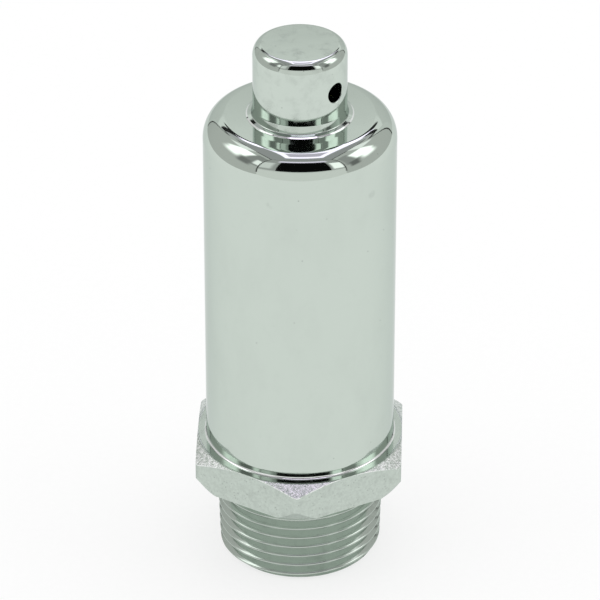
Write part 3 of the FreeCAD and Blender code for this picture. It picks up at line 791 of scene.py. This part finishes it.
def thread_radius(angle, z):
    """Radius of the threaded nipple at an angle and a height.

    The ridge is a rounded trapezoid in the phase z / pitch - angle / turn, on the tapered
    core.  A chamfer limits it at the thread's end and another where it runs out, from
    fade_top to fade_end, which are radius and height."""
    s = bpy.context.scene.vent_thread
    hexagon = SHELL_LOW.z - bpy.context.scene.vent_base.height
    top = hexagon - s.relief
    phase = z / s.pitch - angle / (2 * np.pi)
    off = np.abs(phase - np.round(phase)) * s.pitch
    flank = (s.pitch - s.crest - s.root) / 2
    climb = (off - s.crest / 2) / flank
    share = 1 - smooth_limit(climb, THREAD_ROUNDING)
    ridge = s.end - s.depth + z * s.taper + s.depth * share
    lead = s.end - s.lead_in + z * (1 + s.taper)
    fade_top = s.end + top * s.taper, top - 0.6 * s.depth
    fade_end = s.end - s.depth - 0.2 * MM, top + 0.4 * MM
    slope = (fade_top[0] - fade_end[0]) / (fade_end[1] - fade_top[1])
    fade = fade_top[0] - (z - fade_top[1]) * slope
    limited = np.minimum(np.minimum(ridge, lead), fade)
    return np.maximum(limited, thread_root(z))


def smooth_limit(value, soft):
    """Value kept between 0 and 1, with rounded corners of about the given size."""
    low = (value + np.sqrt(value ** 2 + soft ** 2)) / 2
    return low - ((low - 1) + np.sqrt((low - 1) ** 2 + soft ** 2)) / 2


def thread_patch(angles, top):
    """The nipple's outer surface from its end to the hexagon: (r cos a, r sin a, z) with
    rows that follow the helix z = (row + a / turn) pitch, held between the two ends.  The
    normal comes from the slopes of r along z and along a."""
    s = bpy.context.scene.vent_thread
    rows = np.arange(-THREAD_SAMPLES - 1, (top / s.pitch + 1) * THREAD_SAMPLES + 1)
    rows = rows / THREAD_SAMPLES
    turn_share = np.unwrap(angles) / (2 * np.pi)
    turn_share = turn_share - turn_share[0]
    z = np.clip((rows[:, None] + turn_share[None, :]) * s.pitch, 0.0, top)
    a = angles[None, :] + 0 * z
    r = thread_radius(a, z)
    dz, da = 2e-6, 1e-4
    along_z = (thread_radius(a, z + dz) - thread_radius(a, z - dz)) / (2 * dz)
    along_a = (thread_radius(a + da, z) - thread_radius(a - da, z)) / (2 * da)
    c, d = np.cos(a), np.sin(a)
    normals = np.stack([c + along_a * d / r, d - along_a * c / r, -along_z], axis=-1)
    normals = normals / np.linalg.norm(normals, axis=-1, keepdims=True)
    return np.stack([r * c, r * d, z], axis=-1), normals


def base_patches():
    """Every surface of the base, from the thread's end to the spigot inside the shell."""
    s = bpy.context.scene.vent_base
    wall = bpy.context.scene.vent_shell.wall
    hexagon, angles = hexagon_patches(s)
    top = SHELL_LOW.z
    thread, thread_normals = thread_patch(angles, top - s.height)
    rim = np.hypot(thread[0, :, 0], thread[0, :, 1])
    mouth = s.inlet + s.inlet_chamfer
    end_face = polar_band(angles, mouth + 0 * rim, rim, lambda r: 0 * r)
    shell_r, spigot = SHELL_HIGH.x, SHELL_HIGH.x - wall - s.spigot_gap
    ring_r, snap_r = spigot - s.ring_depth, SNAP_HIGH.x
    profile = [
        arc((shell_r + s.bead, top + s.bead), (s.bead, s.bead), 270, 180, 12),
        *path((shell_r, top + s.bead), (shell_r, top), (spigot, top), (spigot, RING_LOW.z),
              (ring_r, RING_LOW.z), (ring_r, RING_HIGH.z), (spigot, RING_HIGH.z),
              (spigot, BASE_HIGH.z), (s.seat, BASE_HIGH.z), (s.seat, SNAP_HIGH.z),
              (snap_r, SNAP_HIGH.z), (snap_r, SNAP_LOW.z), (s.seat, SNAP_LOW.z),
              (s.seat, SUPPORT_LOW.z), (s.inlet, SUPPORT_LOW.z)),
        line((s.inlet, SUPPORT_LOW.z), (s.inlet, s.inlet_chamfer), 12),
        line((s.inlet, s.inlet_chamfer), (mouth, 0.0)),
    ]
    down = np.broadcast_to(np.array([0.0, 0.0, -1.0]), end_face.shape)
    nipple = [(thread, thread_normals), (end_face, down)]
    return hexagon + nipple + [swept(part, angles) for part in profile]


# ---------------------------------------------------------------- stage
def tent_sheet(name, corners, axes, base, patches):
    """One sheet of the light tent, seen only in polished metal.  Its glow is the base colour
    with soft-edged patches laid over it in turn: (low corner, high corner, softness, colour,
    gain) in the two axes of the sheet."""
    mesh = bpy.data.meshes.new(name)
    mesh.from_pydata(corners, [], [(0, 1, 2, 3)])
    sheet = bpy.data.objects.new(name, mesh)
    bpy.context.scene.collection.objects.link(sheet)
    paint = new_material(name)
    place = paint.axes()
    u, v = place[axes[0]], place[axes[1]]
    glow = rgba(base)
    for (u0, v0), (u1, v1), soft, tint, gain in patches:
        mask = u.window(u0, u1, soft) * v.window(v0, v1, soft)
        glow = paint.mix(mask, glow, rgba(tint, gain))
    mesh.materials.append(paint.surface(paint.glow(glow)))
    sheet.visible_camera = False
    sheet.visible_diffuse = False
    sheet.visible_shadow = False


NEUTRAL = (1.0, 1.0, 1.0)
LAVENDER = (0.97, 0.86, 1.06)
DARK = (0.02, 0.02, 0.02)
LEFT, RIGHT, FRONT, BACK, TOP = -0.36, 0.41, -0.31, 0.58, 0.83


def light_tent():
    """A square tent of white cloth round the vent, with lamps shining through its side and
    top sheets, dark seams, and the black opening that the camera looks through."""
    seam = 0.007
    lamp = 1.9
    wall = (0.62, 0.62, 0.61)
    tent_sheet("tent_front", [(LEFT, FRONT, 0), (RIGHT, FRONT, 0), (RIGHT, FRONT, TOP),
                              (LEFT, FRONT, TOP)], (0, 2), (0.88, 0.88, 0.87), [
        ((LEFT, 0.20), (RIGHT, TOP), 0.05, (0.45, 0.45, 0.45), 1.0),
        ((-0.34, 0.25), (-0.24, 0.45), 0.05, NEUTRAL, 0.9),
        ((0.27, 0.22), (0.38, 0.43), 0.03, NEUTRAL, 1.5),
        ((-0.19, 0.56), (0.25, 0.66), 0.03, LAVENDER, 1.15),
        ((-0.165, 0.18), (0.225, 0.54), 0.004, DARK, 0.2),
        ((LEFT, 0.07), (LEFT + seam, TOP), 0.006, DARK, 4.0),
        ((RIGHT - seam, 0.07), (RIGHT, TOP), 0.006, DARK, 4.0),
        ((LEFT, TOP - 0.02), (RIGHT, TOP), 0.02, DARK, 6.0),
    ])
    tent_sheet("tent_back", [(RIGHT, BACK, 0), (LEFT, BACK, 0), (LEFT, BACK, TOP),
                             (RIGHT, BACK, TOP)], (0, 2), (0.74, 0.75, 0.74), [
        ((LEFT, 0.418), (RIGHT, TOP), 0.03, (0.95, 0.96, 0.95), 1.0),
        ((LEFT, 0.58), (RIGHT, TOP), 0.004, (0.55, 0.54, 0.56), 1.0),
        ((-0.15, 0.535), (0.22, TOP), 0.012, LAVENDER, 2.2),
        ((LEFT, 0.50), (-0.12, 0.59), 0.01, DARK, 1.0),
        ((-0.13, 0.45), (0.19, 0.522), 0.01, DARK, 1.0),
        ((0.18, 0.55), (RIGHT, 0.64), 0.01, DARK, 1.0),
    ])
    tent_sheet("tent_left", [(LEFT, BACK, 0), (LEFT, FRONT, 0), (LEFT, FRONT, TOP),
                             (LEFT, BACK, TOP)], (1, 2), wall, [
        ((-0.28, 0.24), (-0.11, 0.66), 0.04, (0.36, 0.36, 0.36), 1.0),
        ((-0.01, 0.28), (0.06, 0.36), 0.09, NEUTRAL, lamp),
        ((-0.06, 0.36), (0.10, 0.56), 0.06, NEUTRAL, lamp),
        ((-0.17, 0.20), (-0.10, 0.27), 0.06, (0.25, 0.25, 0.25), 1.0),
        ((-0.30, 0.28), (-0.24, 0.42), 0.04, NEUTRAL, 1.3),
        ((FRONT, 0.07), (FRONT + seam, TOP), 0.006, DARK, 4.0),
        ((FRONT, TOP - 0.03), (BACK, TOP), 0.03, DARK, 4.0),
        ((0.52, 0.0), (BACK, 0.64), 0.004, (0.78, 0.79, 0.78), 1.0),
        ((0.500, 0.0), (0.525, 0.64), 0.004, DARK, 1.0),
        ((0.52, 0.58), (BACK, 0.64), 0.006, DARK, 1.0),
        ((0.12, 0.56), (0.30, 0.78), 0.05, NEUTRAL, 1.2),
    ])
    tent_sheet("tent_right", [(RIGHT, FRONT, 0), (RIGHT, BACK, 0), (RIGHT, BACK, TOP),
                              (RIGHT, FRONT, TOP)], (1, 2), wall, [
        ((-0.26, 0.24), (-0.12, 0.62), 0.04, (0.40, 0.40, 0.40), 1.0),
        ((-0.03, 0.24), (0.04, 0.33), 0.08, NEUTRAL, lamp),
        ((-0.10, 0.32), (0.08, 0.50), 0.05, NEUTRAL, lamp),
        ((-0.21, 0.17), (-0.15, 0.25), 0.05, (0.2, 0.2, 0.2), 1.0),
        ((FRONT, 0.07), (FRONT + seam, TOP), 0.006, DARK, 4.0),
        ((FRONT, TOP - 0.03), (BACK, TOP), 0.03, DARK, 4.0),
        ((0.43, 0.0), (BACK, 0.66), 0.004, (0.78, 0.79, 0.78), 1.0),
        ((0.410, 0.0), (0.435, 0.66), 0.004, DARK, 1.0),
        ((0.43, 0.60), (BACK, 0.668), 0.006, DARK, 1.0),
        ((0.12, 0.54), (0.30, 0.78), 0.05, NEUTRAL, 1.2),
    ])
    tent_sheet("tent_top", [(LEFT, FRONT, TOP), (RIGHT, FRONT, TOP), (RIGHT, BACK, TOP),
                            (LEFT, BACK, TOP)], (0, 1), (0.42, 0.41, 0.43), [
        ((-0.13, -0.125), (0.22, 0.58), 0.015, LAVENDER, 1.9),
        ((-0.08, -0.010), (0.16, 0.27), 0.015, LAVENDER, 0.74),
    ])


def floor_and_room(s):
    """Plain pale floor that stays white and keeps a soft shadow, and a white room."""
    mesh = bpy.data.meshes.new("floor")
    reach = 4.0
    corners = [(-reach, -reach, 0), (reach, -reach, 0), (reach, reach, 0), (-reach, reach, 0)]
    mesh.from_pydata(corners, [], [(0, 1, 2, 3)])
    floor = bpy.data.objects.new("floor", mesh)
    bpy.context.scene.collection.objects.link(floor)
    paint = new_material("pale_floor")
    lift = paint.seen() * 0.7
    grain = paint.noise(1.2, 2.0).rise(0.3, 0.7)
    shade = paint.mix(grain, (0.90, 0.90, 0.90, 1.0), (0.92, 0.92, 0.92, 1.0))
    cloth = paint.node("ShaderNodeBsdfPrincipled", None,
                       {"Base Color": shade, "Roughness": 0.9, "Specular IOR Level": 0.0})
    pale = paint.node("ShaderNodeMixShader", None, {0: lift, 1: cloth, 2: paint.glow(WHITE)})
    clear = paint.node("ShaderNodeBsdfTransparent")
    below = paint.node("ShaderNodeNewGeometry", output="Backfacing")
    sided = paint.node("ShaderNodeMixShader", None, {0: below, 1: pale, 2: clear})
    mesh.materials.append(paint.surface(sided))

    world = bpy.data.worlds.new("white_room")
    bpy.context.scene.world = world
    paint = Paint(world)
    strength = s.day + paint.seen() * (1.0 - s.day)
    room = paint.node("ShaderNodeBackground", None, {"Color": WHITE, "Strength": strength})
    paint.node("ShaderNodeOutputWorld", None, {"Surface": room})


def soft_lamps(s):
    """Three soft square lamps round the vent: left, right and above."""
    aim = Vector((0.0, 0.0, 0.04))
    for name, place in (("lamp_left", (-0.7, -0.1, 0.55)), ("lamp_right", (0.7, -0.05, 0.5)),
                        ("lamp_top", (0.1, 0.2, 0.95))):
        light = bpy.data.lights.new(name, "AREA")
        light.size = 0.6
        light.energy = s.lamp
        lamp = bpy.data.objects.new(name, light)
        lamp.location = place
        lamp.rotation_euler = (aim - Vector(place)).to_track_quat("-Z", "Y").to_euler()
        lamp.visible_glossy = False
        bpy.context.scene.collection.objects.link(lamp)


def camera(s):
    """Camera in front of the vent, looking down at it."""
    data = bpy.data.cameras.new("camera")
    data.lens = s.lens
    data.sensor_width = 36.0
    data.clip_start, data.clip_end = 0.01, 20.0
    eye = bpy.data.objects.new("camera", data)
    back = Vector((0.0, -math.cos(s.elevation), math.sin(s.elevation)))
    eye.location = Vector((0.0, 0.0, s.aim)) + back * s.distance
    eye.rotation_euler = (-back).to_track_quat("-Z", "Y").to_euler()
    bpy.context.scene.collection.objects.link(eye)
    bpy.context.scene.camera = eye


# ---------------------------------------------------------------- operators
class VENT_OT_make_shell(bpy.types.Operator):
    """Make the drawn, chromed shell"""

    bl_idname = "vent.make_shell"
    bl_label = "Shell"

    def execute(self, context):
        scene = context.scene
        piece = closed_mesh("shell_chromed", revolved(shell_profile(scene.vent_shell)))
        fit_out(piece, "body_shell", chrome_shell_finish(scene.vent_finish))
        return {"FINISHED"}


class VENT_OT_make_cap(bpy.types.Operator):
    """Make the turned cap with its side hole"""

    bl_idname = "vent.make_cap"
    bl_label = "Cap"

    def execute(self, context):
        scene = context.scene
        piece = closed_mesh("cap_chromed", cap_patches(scene.vent_cap))
        fit_out(piece, "vent_cap", chrome_cap_finish(scene.vent_finish))
        return {"FINISHED"}


class VENT_OT_make_base(bpy.types.Operator):
    """Make the hexagon base with its tapered thread"""

    bl_idname = "vent.make_base"
    bl_label = "Base"

    def execute(self, context):
        piece = closed_mesh("base_chromed", base_patches())
        fit_out(piece, "base_nipple", chrome_base_finish(context.scene.vent_finish))
        return {"FINISHED"}


class VENT_OT_finish_inside(bpy.types.Operator):
    """Give every piece of the CAD frame its finish"""

    bl_idname = "vent.finish_inside"
    bl_label = "Inner pieces"

    def execute(self, context):
        for make, nodes in FINISHES.items():
            finish = make(context.scene.vent_finish)
            for node in nodes:
                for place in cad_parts[node].material_slots:
                    place.material = finish
        return {"FINISHED"}


class VENT_OT_make_stage(bpy.types.Operator):
    """Make the floor, the light tent, the lamps and the camera"""

    bl_idname = "vent.make_stage"
    bl_label = "Stage"

    def execute(self, context):
        s = context.scene.vent_stage
        floor_and_room(s)
        light_tent()
        soft_lamps(s)
        camera(s)
        context.scene.view_settings.view_transform = "Standard"
        return {"FINISHED"}


OPERATORS = (VENT_OT_make_shell, VENT_OT_make_cap, VENT_OT_make_base, VENT_OT_finish_inside,
             VENT_OT_make_stage)


class VENT_PT_panel(bpy.types.Panel):
    """Sidebar panel with the vent's pieces and their sizes"""

    bl_idname = "VENT_PT_panel"
    bl_label = "Automatic air vent"
    bl_space_type = "VIEW_3D"
    bl_region_type = "UI"
    bl_category = "Air Vent"

    def draw(self, context):
        for operator in OPERATORS:
            self.layout.operator(operator.bl_idname)
        for name, group in GROUPS.items():
            box = self.layout.box()
            for field in group.__annotations__:
                box.prop(getattr(context.scene, name), field)


def register():
    for made in (*GROUPS.values(), *OPERATORS, VENT_PT_panel):
        bpy.utils.register_class(made)
    for name, group in GROUPS.items():
        setattr(bpy.types.Scene, name, bpy.props.PointerProperty(type=group))


def unregister():
    for name in GROUPS:
        delattr(bpy.types.Scene, name)
    for made in reversed((*GROUPS.values(), *OPERATORS, VENT_PT_panel)):
        bpy.utils.unregister_class(made)


def main():
    register()
    bpy.ops.vent.make_shell()
    bpy.ops.vent.make_cap()
    bpy.ops.vent.make_base()
    bpy.ops.vent.finish_inside()
    bpy.ops.vent.make_stage()


if __name__ == "__main__":
    main()
